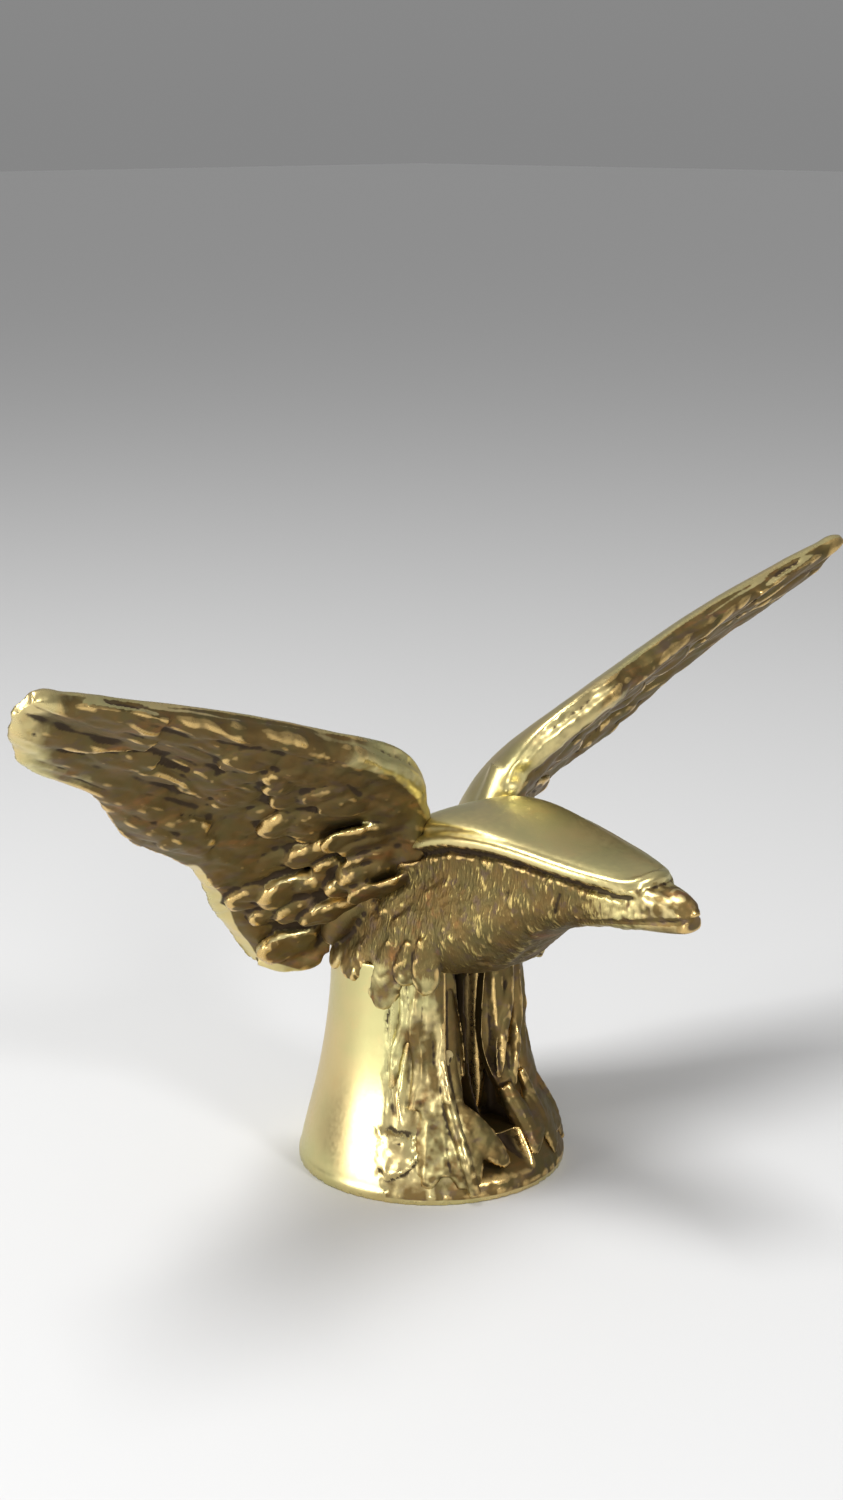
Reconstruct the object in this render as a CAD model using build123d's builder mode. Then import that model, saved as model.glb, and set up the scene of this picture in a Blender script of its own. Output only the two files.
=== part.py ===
"""Hood ornament: a cast brass bird of prey with raised wings, on a hollow bell-shaped pedestal.

Millimetres, +Z up. The bird faces -Y and its left wing points along +X. The origin is the centre of the
pedestal's rim: it lies on the surface that the ornament stands on, in the mouth of the mounting thread.
Every casting meets its neighbours face to face, and the pins and the tie screw hold them together.
"""

import os

from build123d import *

# ---- driving dimensions ------------------------------------------------------------------------------
# Bell of the pedestal, from the rim up: (height, radius, set-back of the centre towards the tail)
BELL = [
    (0, 22.2, 0.0),
    (1.6, 22.0, 0.0),
    (7, 20.2, 0.8),
    (13, 17.9, 1.9),
    (22, 15.9, 2.4),
    (30, 15.2, 2.2),
    (37, 15.2, 2.0),
]
SEAT_HEIGHT = BELL[-1][0]
RIM_FLAT = 1.6
WALL = 3.4
CROWN_THICKNESS = 9
BOSS_RADIUS = 9

# Hardware on the pedestal's axis
BUSH_RADIUS = 6
BUSH_LENGTH = 14
THREAD_RADIUS = 3.4
HEAD_RADIUS = 5
HEAD_HEIGHT = 4
SLOT_WIDTH = 1.6
SLOT_DEPTH = 1.8
SCREW_RADIUS = 3
SCREW_REACH = 17
WASHER_RADIUS = 5.9
WASHER_THICKNESS = 1.6
SCREW_CLEARANCE = 0.3

# Torso, head and beak: (station y, lowest z, highest z, half width low down, half width high up)
TORSO = [
    (17, 39.5, 49, 6.0, 5.5),
    (10, 36.5, 54.5, 11.5, 9.5),
    (0, 34.0, 57.0, 13.5, 10.3),
    (-9, 34.0, 61.0, 13.5, 10.4),
    (-16, 36.0, 62.4, 12.4, 9.6),
    (-22, 40.0, 61.8, 10.4, 8.6),
    (-28, 45.0, 60.2, 8.0, 7.6),
    (-36, 48.4, 58.9, 6.2, 6.3),
    (-44, 49.8, 57.7, 4.9, 5.0),
    (-49, 50.4, 56.3, 3.7, 3.5),
    (-52.6, 50.9, 55.1, 2.9, 2.6),
    (-54.8, 51.4, 53.6, 1.9, 1.7),
]
LOW_STATION = 0.34
HIGH_STATION = 0.74

# Neck: how far it rises into the torso, leans forward and tapers on the way
NECK_RISE = 11
NECK_LEAN = 4
NECK_TAPER = 0.66

# Mantle, the smooth hood over the back and crown: (station y, lower edge z, highest z, half width)
MANTLE = [
    (1, 52.5, 58.0, 9.3),
    (-8, 57.2, 62.2, 10.6),
    (-15.2, 59.2, 63.2, 10.2),
    (-23.7, 59.6, 62.3, 9.0),
    (-36, 58.0, 60.4, 7.0),
    (-44, 55.8, 59.1, 5.8),
    (-47.4, 55.2, 58.0, 4.2),
]
MANTLE_FLAT = 0.8
MANTLE_EDGE = 0.3
MANTLE_EDGE_TANGENT = (1, 0.2)

# Right wing: its plane starts at the shoulder and runs along the span towards the wing tip
SHOULDER = Vector(-11, -9.5, 67)
WING_TIP = Vector(-87, -16.5, 96.8)
CHORD_TURN = 44.9
# (span, leading edge, trailing edge, nose thickness, camber, lift of the nose, lift of the trailing edge)
WING_SECTIONS = [
    (-12.5, 33.0, 40.5, 3.6, 0.0, 6.4, 8.2),
    (-8.5, 19.0, 43.6, 5.6, 0.4, 3.2, 5.4),
    (-4, 4.0, 45.6, 7.4, 1.6, 1.2, 3.0),
    (2, -1.2, 43.0, 7.2, 2.4, -0.6, 0.6),
    (11, -4.2, 38.0, 5.9, 2.6, -1.4, -0.4),
    (24, -3.6, 31.2, 5.0, 2.4, -1.8, -1.0),
    (37.5, -2.2, 29.2, 4.6, 2.0, -2.2, -1.2),
    (44, -1.5, 26.4, 4.5, 1.6, -2.2, -1.2),
    (55, -0.4, 20.2, 4.2, 1.0, -1.8, -0.8),
    (70, 0.8, 16.9, 3.7, 0.5, -0.8, 0.0),
    (79, 1.3, 11.8, 3.1, 0.2, 0.0, 0.4),
    (83.4, 2.3, 6.8, 2.2, 0.0, 0.4, 0.4),
]
TRAILING_THICKNESS = 1.6
NOSE_SHARE = 0.12
MIDDLE_SHARE = 0.34
EDGE_SHARE = 0.8

# Tenons of the wings, in sockets in the shoulders
TENON_TOP = Vector(-12.5, -6.0, 65)
TENON_FOOT = Vector(-6.0, -3.5, 49)
TENON_RADIUS = 3.6
TENON_PIN_RADIUS = 1.1
TENON_PIN_HEIGHT = 53.0
TENON_PIN_FRONT = 12
TENON_PIN_LENGTH = 30

# Front of the pedestal: a groove between the legs, over a solid stretch of wall
GROOVE_HALF_WIDTH = 4.4
GROOVE_BACK = -9.4
GROOVE_BOTTOM = 9
SOLID_HALF_WIDTH = 7

# Right leg, in low relief on the pedestal: (centre, half width, half depth) from the thigh to the ankle
LEG = [
    (Vector(-8.0, -7.4, 37), 5.0, 3.6),
    (Vector(-8.2, -8.2, 30), 4.6, 3.4),
    (Vector(-8.7, -9.6, 22), 4.0, 3.4),
    (Vector(-9.6, -11.6, 14), 3.8, 3.8),
    (Vector(-9.6, -13.0, 9), 3.2, 3.4),
]
LEG_TURN = -40

# Toes of the right foot; a knuckle arches each toe up and forward part of the way to its tip
ANKLE = Vector(-9.6, -12.0, 13)
TOE_TIPS = [Vector(-8.9, -18.8, 1.9), Vector(-2.2, -19.8, 2.8), Vector(-15.6, -14.2, 2.4)]
TOE_ROOT_RADIUS = 3.2
TOE_KNUCKLE_RADIUS = 2.6
TOE_TIP_RADIUS = 1.1
KNUCKLE_SHARE = 0.55
KNUCKLE_ARCH = Vector(0, -1.2, 0.8)
LEG_PIN_RADIUS = 1.5
LEG_PIN_HEIGHT = 22
LEG_PIN_SIDE = -8.6
LEG_PIN_FRONT = 12.0
LEG_PIN_LENGTH = 5.6

# Small chamfers on turned ends, and a cutting sheet wider than any casting
TURNED_CHAMFER = 0.6
CUT_SIZE = 160

os.makedirs("parts", exist_ok=True)


# ---- pedestal ----------------------------------------------------------------------------------------
# The outer skin is a loft of circles whose centres lean back; it is kept whole for cutting its neighbours.
with BuildPart() as bell:
    for height, radius, set_back in BELL[1:]:
        with BuildSketch(Plane.XY.offset(height)):
            with Locations((0, set_back)):
                Circle(radius)
    loft()
    with BuildSketch(Plane.XY):
        Circle(BELL[0][1])
    extrude(amount=RIM_FLAT)
    with BuildSketch(Plane.XY.offset(GROOVE_BOTTOM)):
        with Locations((0, GROOVE_BACK)):
            Rectangle(2 * GROOVE_HALF_WIDTH, BELL[0][1], align=(Align.CENTER, Align.MAX))
    extrude(amount=SEAT_HEIGHT, mode=Mode.SUBTRACT)

cavity_top = SEAT_HEIGHT - CROWN_THICKNESS
with BuildPart() as cavity:
    for height, radius, set_back in BELL[1:-2] + [(cavity_top, BELL[-2][1], BELL[-2][2])]:
        with BuildSketch(Plane.XY.offset(height)):
            with Locations((0, set_back)):
                Circle(radius - WALL)
    loft()
    with BuildSketch(Plane.XY):
        Circle(BELL[0][1] - WALL)
    extrude(amount=RIM_FLAT)
    with BuildSketch(Plane.XY):
        Circle(BOSS_RADIUS)
    extrude(amount=SEAT_HEIGHT, mode=Mode.SUBTRACT)
    with BuildSketch(Plane.XY.offset(GROOVE_BOTTOM - WALL)):
        Rectangle(2 * SOLID_HALF_WIDTH, BELL[0][1], align=(Align.CENTER, Align.MAX))
    extrude(amount=SEAT_HEIGHT, mode=Mode.SUBTRACT)


# ---- body: torso, mantle, head and beak ---------------------------------------------------------------
def station(y, z):
    """A section plane across the body, seen from the front: local x is the bird's left, local y is up."""
    return Plane((0, y, z), x_dir=(1, 0, 0), z_dir=(0, -1, 0))


with BuildPart() as torso:
    for y, low, high, low_width, high_width in TORSO:
        rise = high - low
        with BuildSketch(station(y, low)):
            with BuildLine():
                Spline(
                    (0, 0),
                    (low_width, LOW_STATION * rise),
                    (high_width, HIGH_STATION * rise),
                    (0, rise),
                    tangents=[(1, 0), (-1, 0)],
                )
                mirror(about=Plane.YZ)
            make_face()
    loft()

with BuildPart() as mantle:
    for y, low, high, half_width in MANTLE:
        rise = high - low
        with BuildSketch(station(y, low)):
            with BuildLine():
                Line((0, 0), (MANTLE_FLAT * half_width, 0))
                Spline(
                    (MANTLE_FLAT * half_width, 0),
                    (half_width, MANTLE_EDGE * rise),
                    (0, rise),
                    tangents=[MANTLE_EDGE_TANGENT, (-1, 0)],
                )
                mirror(about=Plane.YZ)
            make_face()
    loft()

# The neck is the round foot of the torso, the same size as the pedestal's seat.
seat_radius = BELL[-1][1]
seat_centre = BELL[-1][2]
with BuildPart() as neck:
    with BuildSketch(Plane.XY.offset(SEAT_HEIGHT)):
        with Locations((0, seat_centre)):
            Circle(seat_radius)
    with BuildSketch(Plane.XY.offset(SEAT_HEIGHT + NECK_RISE)):
        with Locations((0, seat_centre - NECK_LEAN)):
            Circle(NECK_TAPER * seat_radius)
    loft()

with BuildPart() as body_envelope:
    add(torso.part)
    add(mantle.part)
    add(neck.part)
    with BuildSketch(Plane.XY.offset(SEAT_HEIGHT)):
        Rectangle(CUT_SIZE, CUT_SIZE)
    extrude(amount=-SEAT_HEIGHT, mode=Mode.SUBTRACT)


# ---- wings -------------------------------------------------------------------------------------------
span_dir = (WING_TIP - SHOULDER).normalized()
level_chord = Vector(0, 1, 0).rotate(Axis.X, -CHORD_TURN)
chord_dir = (level_chord - span_dir * level_chord.dot(span_dir)).normalized()


def wing_station(span):
    """A section plane across the right wing: local x runs to the trailing edge, local y to the underside."""
    return Plane(SHOULDER + span_dir * span, x_dir=chord_dir, z_dir=span_dir)


with BuildPart() as wing_blade:
    for span, lead, trail, nose, camber, nose_lift, trail_lift in WING_SECTIONS:
        nose_back = lead + NOSE_SHARE * (trail - lead)
        middle = (lead + trail) / 2
        middle_lift = (nose_lift + trail_lift) / 2 - camber
        edge_back = trail - EDGE_SHARE * TRAILING_THICKNESS
        with BuildSketch(wing_station(span)):
            with BuildLine():
                Spline(
                    (lead, nose_lift),
                    (nose_back, nose_lift + nose / 2),
                    (middle, middle_lift + MIDDLE_SHARE * nose),
                    (edge_back, trail_lift + TRAILING_THICKNESS / 2),
                    (trail, trail_lift),
                    (edge_back, trail_lift - TRAILING_THICKNESS / 2),
                    (middle, middle_lift - MIDDLE_SHARE * nose),
                    (nose_back, nose_lift - nose / 2),
                    periodic=True,
                )
            make_face()
    loft()

tenon_axis = (TENON_FOOT - TENON_TOP).normalized()
tenon_length = (TENON_FOOT - TENON_TOP).length
with BuildPart() as tenon:
    with BuildSketch(Plane(TENON_TOP, z_dir=tenon_axis)):
        Circle(TENON_RADIUS)
    extrude(amount=tenon_length)
    chamfer(tenon.faces().sort_by(Axis.Z)[0].edges(), TURNED_CHAMFER)

# Each cross pin passes along Y through the middle of a tenon and is dressed flush with the body.
pin_share = (TENON_TOP.Z - TENON_PIN_HEIGHT) / (TENON_TOP.Z - TENON_FOOT.Z)
pin_x = TENON_TOP.X + (TENON_FOOT.X - TENON_TOP.X) * pin_share
with BuildPart() as pin_rod:
    with BuildSketch(Plane.XZ.offset(TENON_PIN_FRONT)):
        with Locations((pin_x, TENON_PIN_HEIGHT)):
            Circle(TENON_PIN_RADIUS)
    extrude(amount=-TENON_PIN_LENGTH)
trimmed_pin = pin_rod.part & body_envelope.part
with BuildPart() as right_wing_pin:
    add(trimmed_pin)

with BuildPart() as right_wing:
    add(wing_blade.part)
    add(body_envelope.part, mode=Mode.SUBTRACT)
    add(bell.part, mode=Mode.SUBTRACT)
    add(tenon.part)
    add(right_wing_pin.part, mode=Mode.SUBTRACT)

with BuildPart() as left_wing:
    add(right_wing.part.mirror(Plane.YZ))

with BuildPart() as left_wing_pin:
    add(right_wing_pin.part.mirror(Plane.YZ))

with BuildPart() as body:
    add(body_envelope.part)
    add(right_wing.part, mode=Mode.SUBTRACT)
    add(left_wing.part, mode=Mode.SUBTRACT)
    add(right_wing_pin.part, mode=Mode.SUBTRACT)
    add(left_wing_pin.part, mode=Mode.SUBTRACT)
    with BuildSketch(Plane.XY.offset(SEAT_HEIGHT)):
        Circle(SCREW_RADIUS)
    extrude(amount=SCREW_REACH, mode=Mode.SUBTRACT)


# ---- legs --------------------------------------------------------------------------------------------
# A leg's pin passes through the pedestal's wall, from the hollow inside into the back of the shin.
with BuildPart() as right_leg_pin:
    with BuildSketch(Plane.XZ.offset(LEG_PIN_FRONT)):
        with Locations((LEG_PIN_SIDE, LEG_PIN_HEIGHT)):
            Circle(LEG_PIN_RADIUS)
    extrude(amount=-LEG_PIN_LENGTH)

with BuildPart() as leg_casting:
    for centre, half_width, half_depth in LEG:
        with BuildSketch(Plane.XY.offset(centre.Z)):
            with Locations((centre.X, centre.Y)):
                Ellipse(half_width, half_depth, rotation=LEG_TURN)
    loft()
    for tip in TOE_TIPS:
        knuckle = ANKLE + (tip - ANKLE) * KNUCKLE_SHARE + KNUCKLE_ARCH
        for centre, radius in [
            (ANKLE, TOE_ROOT_RADIUS),
            (knuckle, TOE_KNUCKLE_RADIUS),
            (tip, TOE_TIP_RADIUS),
        ]:
            with BuildSketch(Plane(centre, z_dir=tip - ANKLE)):
                Circle(radius)
        loft()
    add(bell.part, mode=Mode.SUBTRACT)
    add(body_envelope.part, mode=Mode.SUBTRACT)
    add(right_leg_pin.part, mode=Mode.SUBTRACT)
# Slivers that the pedestal cuts off the casting are left out.
with BuildPart() as right_leg:
    add(leg_casting.solids().sort_by(SortBy.VOLUME)[-1])

with BuildPart() as left_leg:
    add(right_leg.part.mirror(Plane.YZ))

with BuildPart() as leg_pins:
    add(right_leg_pin.part)
    add(right_leg_pin.part.mirror(Plane.YZ))

washer_bottom = cavity_top - WASHER_THICKNESS
head_bottom = washer_bottom - HEAD_HEIGHT
with BuildPart() as pedestal:
    add(bell.part)
    add(cavity.part, mode=Mode.SUBTRACT)
    with BuildSketch(Plane.XY):
        Circle(BUSH_RADIUS)
    extrude(amount=cavity_top, mode=Mode.SUBTRACT)
    with BuildSketch(Plane.XY):
        Circle(SCREW_RADIUS + SCREW_CLEARANCE)
    extrude(amount=SEAT_HEIGHT, mode=Mode.SUBTRACT)
    add(leg_pins.part, mode=Mode.SUBTRACT)


# ---- hardware ----------------------------------------------------------------------------------------
with BuildPart() as mounting_bush:
    with BuildSketch(Plane.XY):
        Circle(BUSH_RADIUS)
        Circle(THREAD_RADIUS, mode=Mode.SUBTRACT)
    extrude(amount=BUSH_LENGTH)
    outer_edges = mounting_bush.edges().filter_by(GeomType.CIRCLE).group_by(SortBy.RADIUS)[-1]
    chamfer(outer_edges.sort_by(Axis.Z)[-1], TURNED_CHAMFER)

with BuildPart() as tie_screw:
    with BuildSketch(Plane.XY.offset(head_bottom)):
        Circle(HEAD_RADIUS)
    extrude(amount=HEAD_HEIGHT)
    with BuildSketch(Plane.XY.offset(head_bottom)):
        Rectangle(2 * HEAD_RADIUS, SLOT_WIDTH)
    extrude(amount=SLOT_DEPTH, mode=Mode.SUBTRACT)
    with BuildSketch(Plane.XY.offset(washer_bottom)):
        Circle(SCREW_RADIUS)
    extrude(amount=SEAT_HEIGHT + SCREW_REACH - washer_bottom)
    chamfer(tie_screw.faces().sort_by(Axis.Z)[-1].edges(), TURNED_CHAMFER)

with BuildPart() as tie_washer:
    with BuildSketch(Plane.XY.offset(washer_bottom)):
        Circle(WASHER_RADIUS)
        Circle(SCREW_RADIUS + SCREW_CLEARANCE, mode=Mode.SUBTRACT)
    extrude(amount=WASHER_THICKNESS)

pieces = {
    "pedestal": pedestal.part,
    "right_leg": right_leg.part,
    "left_leg": left_leg.part,
    "leg_pins": leg_pins.part,
    "body": body.part,
    "right_wing": right_wing.part,
    "left_wing": left_wing.part,
    "right_wing_pin": right_wing_pin.part,
    "left_wing_pin": left_wing_pin.part,
    "tie_screw": tie_screw.part,
    "tie_washer": tie_washer.part,
    "mounting_bush": mounting_bush.part,
}
for name, piece in pieces.items():
    piece.label = name
    export_step(piece, f"parts/{name}.step")
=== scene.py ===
# %% [markdown]
# A cast brass bird of prey, the kind of ornament that stood on a car's bonnet or radiator cap. The packed
# model gives every casting its size and place. This lesson copies each casting, models the feathers, folds
# and toes on it as solid metal, fuses them into one skin as a foundry's wax does, and gives the skin a
# handled brass finish.

# %% Load the frame
import math
import random

import bpy
import bmesh
import numpy as np
from mathutils import Matrix, Vector
from mathutils.bvhtree import BVHTree


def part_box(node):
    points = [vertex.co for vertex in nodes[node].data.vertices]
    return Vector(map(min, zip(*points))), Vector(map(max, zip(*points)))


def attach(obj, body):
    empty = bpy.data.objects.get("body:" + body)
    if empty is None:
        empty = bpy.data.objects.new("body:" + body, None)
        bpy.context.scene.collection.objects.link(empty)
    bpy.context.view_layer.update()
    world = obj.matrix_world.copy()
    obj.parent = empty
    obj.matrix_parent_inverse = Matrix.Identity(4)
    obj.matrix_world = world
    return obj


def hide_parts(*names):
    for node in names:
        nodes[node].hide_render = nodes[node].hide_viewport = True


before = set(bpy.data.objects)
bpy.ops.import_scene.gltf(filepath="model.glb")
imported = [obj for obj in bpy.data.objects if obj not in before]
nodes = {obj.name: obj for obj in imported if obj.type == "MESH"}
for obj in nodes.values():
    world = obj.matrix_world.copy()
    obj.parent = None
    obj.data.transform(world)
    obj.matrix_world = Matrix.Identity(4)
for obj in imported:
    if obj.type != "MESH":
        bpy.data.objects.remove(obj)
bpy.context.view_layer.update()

MM = 0.001

# %% [markdown]
# Cast metal has no sharp inner corners: where one form meets the next the wax has flowed. The simplest way
# to get that is to let the forms overlap, wrap them in one voxel skin, and relax the skin a little. The
# helpers below do that, and read and write whole arrays of points at once so that a casting of 60 000
# points stays quick.

# %% Points and objects
def read_points(mesh):
    points = np.empty(len(mesh.vertices) * 3)
    mesh.vertices.foreach_get("co", points)
    return points.reshape(-1, 3)


def write_points(mesh, points):
    mesh.vertices.foreach_set("co", np.asarray(points, dtype=float).ravel())
    mesh.update()


def read_normals(mesh):
    normals = np.empty(len(mesh.vertices) * 3)
    mesh.vertices.foreach_get("normal", normals)
    return normals.reshape(-1, 3)


def new_object(name, mesh):
    piece = bpy.data.objects.new(name, mesh)
    bpy.context.scene.collection.objects.link(piece)
    return piece


# %% One skin round all the forms
def fuse(name, meshes, voxel):
    """One closed skin round all the meshes, with faces of about one voxel."""
    joined = bmesh.new()
    for mesh in meshes:
        joined.from_mesh(mesh)
    bmesh.ops.remove_doubles(joined, verts=joined.verts, dist=1e-6)
    source = bpy.data.meshes.new(name + "_forms")
    joined.to_mesh(source)
    joined.free()
    holder = new_object(name + "_forms", source)
    skin = holder.modifiers.new("Skin", "REMESH")
    skin.mode = "VOXEL"
    skin.voxel_size = voxel
    skin.use_smooth_shade = True
    graph = bpy.context.evaluated_depsgraph_get()
    mesh = bpy.data.meshes.new_from_object(holder.evaluated_get(graph))
    bpy.data.objects.remove(holder)
    bpy.data.meshes.remove(source)
    mesh.name = name
    return mesh


def relaxed(mesh, points, steps, share=0.5):
    """The points after moving each towards the mean of its neighbours, steps times."""
    ends = np.empty(len(mesh.edges) * 2, dtype=np.int64)
    mesh.edges.foreach_get("vertices", ends)
    first, second = ends[0::2], ends[1::2]
    count = np.bincount(ends, minlength=len(points))[:, None]
    for _ in range(steps):
        total = np.zeros_like(points)
        for axis in range(3):
            total[:, axis] += np.bincount(first, weights=points[second, axis], minlength=len(points))
            total[:, axis] += np.bincount(second, weights=points[first, axis], minlength=len(points))
        points = points + share * (total / count - points)
    return points


# %% [markdown]
# Where a mark starts and ends on the metal is said with soft steps, and how it wavers with a smooth noise.
# Both work on arrays, so a mark is one line of arithmetic on all the points of a casting.

# %% Soft steps and smooth noise
def step_up(low, high, value):
    """0 up to low, 1 from high on, and a soft rise between; falls instead where low is above high."""
    t = np.clip((value - low) / (high - low), 0.0, 1.0)
    return t * t * (3 - 2 * t)


def cloud(points, size, seed):
    """Smooth random values from -1 to 1, the same on every run. The lumps' size is a number or (x, y, z)."""
    grid = points / np.asarray(size)
    cell = np.floor(grid).astype(np.int64)
    part = grid - cell
    part = part * part * (3 - 2 * part)
    value = np.zeros(len(points))
    for corner in range(8):
        step = np.array([corner & 1, corner >> 1 & 1, corner >> 2 & 1])
        key = (cell + step) @ np.array([73856093, 19349663, 83492791]) + seed * 2654435
        key = (key ^ (key >> 13)) * 1274126177 & 0x7FFFFFFF
        key = (key ^ (key >> 16)) & 0xFFFF
        weight = np.prod(np.where(step, part, 1 - part), axis=1)
        value += weight * (key / 32767.5 - 1)
    return value


# %% [markdown]
# Two Geometry Nodes trees make all the repeated forms. The first sweeps a round section along any number of
# curves, thick or thin by the curve's own radius. It stands for what a modeller rolls between two fingers:
# toes, folds of the leg feathers, the thick edge of a wing. A tree is shorter than one bevelled curve
# object for each.

# %% Helpers for node trees
def add_socket(tree, name, kind, default=None):
    socket = tree.interface.new_socket(name, in_out="INPUT", socket_type=kind)
    if default is not None:
        socket.default_value = default


def new_tree(name):
    tree = bpy.data.node_groups.new(name, "GeometryNodeTree")
    tree.interface.new_socket("Geometry", in_out="OUTPUT", socket_type="NodeSocketGeometry")
    add_socket(tree, "Geometry", "NodeSocketGeometry")
    return tree


def tree_inputs(tree):
    """The tree's input sockets by name."""
    items = [item for item in tree.interface.items_tree if item.item_type == "SOCKET"]
    return {item.name: item for item in items if item.in_out == "INPUT"}


# %% The sweep tree
sweep_tree = new_tree("Sweep along curves")
add_socket(sweep_tree, "Spacing", "NodeSocketFloat", 0.6 * MM)
add_socket(sweep_tree, "Sides", "NodeSocketInt", 10)
add_socket(sweep_tree, "Metal", "NodeSocketMaterial")
add = sweep_tree.nodes.new
link = sweep_tree.links.new
group_in, group_out = add("NodeGroupInput"), add("NodeGroupOutput")
bend = add("GeometryNodeCurveSplineType")
bend.spline_type = "CATMULL_ROM"
even = add("GeometryNodeResampleCurve")
even.mode = "LENGTH"
ring = add("GeometryNodeCurvePrimitiveCircle")
ring.inputs["Radius"].default_value = 1.0
tube = add("GeometryNodeCurveToMesh")
tube.inputs["Fill Caps"].default_value = True
solid = add("GeometryNodeRealizeInstances")
coat = add("GeometryNodeSetMaterial")
radius = add("GeometryNodeInputRadius")
link(group_in.outputs["Geometry"], bend.inputs["Curve"])
link(bend.outputs["Curve"], even.inputs["Curve"])
link(group_in.outputs["Spacing"], even.inputs["Length"])
link(group_in.outputs["Sides"], ring.inputs["Resolution"])
link(even.outputs["Curve"], tube.inputs["Curve"])
link(ring.outputs["Curve"], tube.inputs["Profile Curve"])
# A node with this input no longer follows the curve's own radius unless it is told to.
if "Scale" in tube.inputs:
    link(radius.outputs["Radius"], tube.inputs["Scale"])
link(tube.outputs["Mesh"], solid.inputs["Geometry"])
link(solid.outputs["Geometry"], coat.inputs["Geometry"])
link(group_in.outputs["Metal"], coat.inputs["Material"])
link(coat.outputs["Geometry"], group_out.inputs["Geometry"])
print("sweep tree inputs:", list(tree_inputs(sweep_tree)))


# %% From strands to a mesh
def set_inputs(modifier, values):
    sockets = tree_inputs(modifier.node_group)
    for name, value in values.items():
        modifier[sockets[name].identifier] = value


def realised(holder):
    """The evaluated result as a plain mesh; the holder and its modifier are removed."""
    graph = bpy.context.evaluated_depsgraph_get()
    mesh = bpy.data.meshes.new_from_object(holder.evaluated_get(graph))
    data = holder.data
    bpy.data.objects.remove(holder)
    if isinstance(data, bpy.types.Mesh):
        bpy.data.meshes.remove(data)
    else:
        bpy.data.curves.remove(data)
    return mesh


def sweep(name, strands, sides=10, spacing=0.6):
    """Each strand is a list of (x, y, z, radius) in millimetres."""
    curve = bpy.data.curves.new(name, "CURVE")
    curve.dimensions = "3D"
    for strand in strands:
        spline = curve.splines.new("POLY")
        spline.points.add(len(strand) - 1)
        for point, (x, y, z, r) in zip(spline.points, strand):
            point.co = (x * MM, y * MM, z * MM, 1)
            point.radius = r * MM
    holder = new_object(name, curve)
    modifier = holder.modifiers.new("Sweep", "NODES")
    modifier.node_group = sweep_tree
    set_inputs(modifier, {"Spacing": spacing * MM, "Sides": sides})
    return realised(holder)


# %% [markdown]
# The second tree puts one feather on each of a set of points, turned and sized by attributes that the
# points carry. Feathers laid by hand would each be an object of its own, and a fuller or thinner coat would
# mean laying them all again. Here a row of them is a list of points.

# %% The feather tree
feather_tree = new_tree("Feathers on points")
add_socket(feather_tree, "Blade", "NodeSocketObject")
add_socket(feather_tree, "Size", "NodeSocketFloat", 1.0)
add_socket(feather_tree, "Metal", "NodeSocketMaterial")
add = feather_tree.nodes.new
link = feather_tree.links.new
group_in, group_out = add("NodeGroupInput"), add("NodeGroupOutput")
spots = add("GeometryNodeMeshToPoints")
blade_info = add("GeometryNodeObjectInfo")
blade_info.inputs["As Instance"].default_value = True
aim = add("GeometryNodeInputNamedAttribute")
aim.data_type = "FLOAT_VECTOR"
aim.inputs["Name"].default_value = "aim"
extent = add("GeometryNodeInputNamedAttribute")
extent.data_type = "FLOAT_VECTOR"
extent.inputs["Name"].default_value = "extent"
swell = add("ShaderNodeVectorMath")
swell.operation = "SCALE"
place = add("GeometryNodeInstanceOnPoints")
solid = add("GeometryNodeRealizeInstances")
coat = add("GeometryNodeSetMaterial")
link(group_in.outputs["Geometry"], spots.inputs["Mesh"])
link(group_in.outputs["Blade"], blade_info.inputs["Object"])
link(extent.outputs["Attribute"], swell.inputs[0])
link(group_in.outputs["Size"], swell.inputs["Scale"])
link(spots.outputs["Points"], place.inputs["Points"])
link(blade_info.outputs["Geometry"], place.inputs["Instance"])
link(aim.outputs["Attribute"], place.inputs["Rotation"])
link(swell.outputs["Vector"], place.inputs["Scale"])
link(place.outputs["Instances"], solid.inputs["Geometry"])
link(solid.outputs["Geometry"], coat.inputs["Geometry"])
link(group_in.outputs["Metal"], coat.inputs["Material"])
link(coat.outputs["Geometry"], group_out.inputs["Geometry"])
print("feather tree inputs:", list(tree_inputs(feather_tree)))

# %% [markdown]
# One feather is modelled once, one unit long, wide and high: a leaf outline, crowned across, with a quill
# groove down its middle and a blunt rim, so that a laid feather shows a step all round as carved wax does.

# %% One feather blade
BLADE_ALONG = 14
BLADE_ACROSS = 8
BLADE_RIM = 0.34
BLADE_DEPTH = 0.9
QUILL_WIDTH = 0.13
QUILL_DEPTH = 0.3


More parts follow.
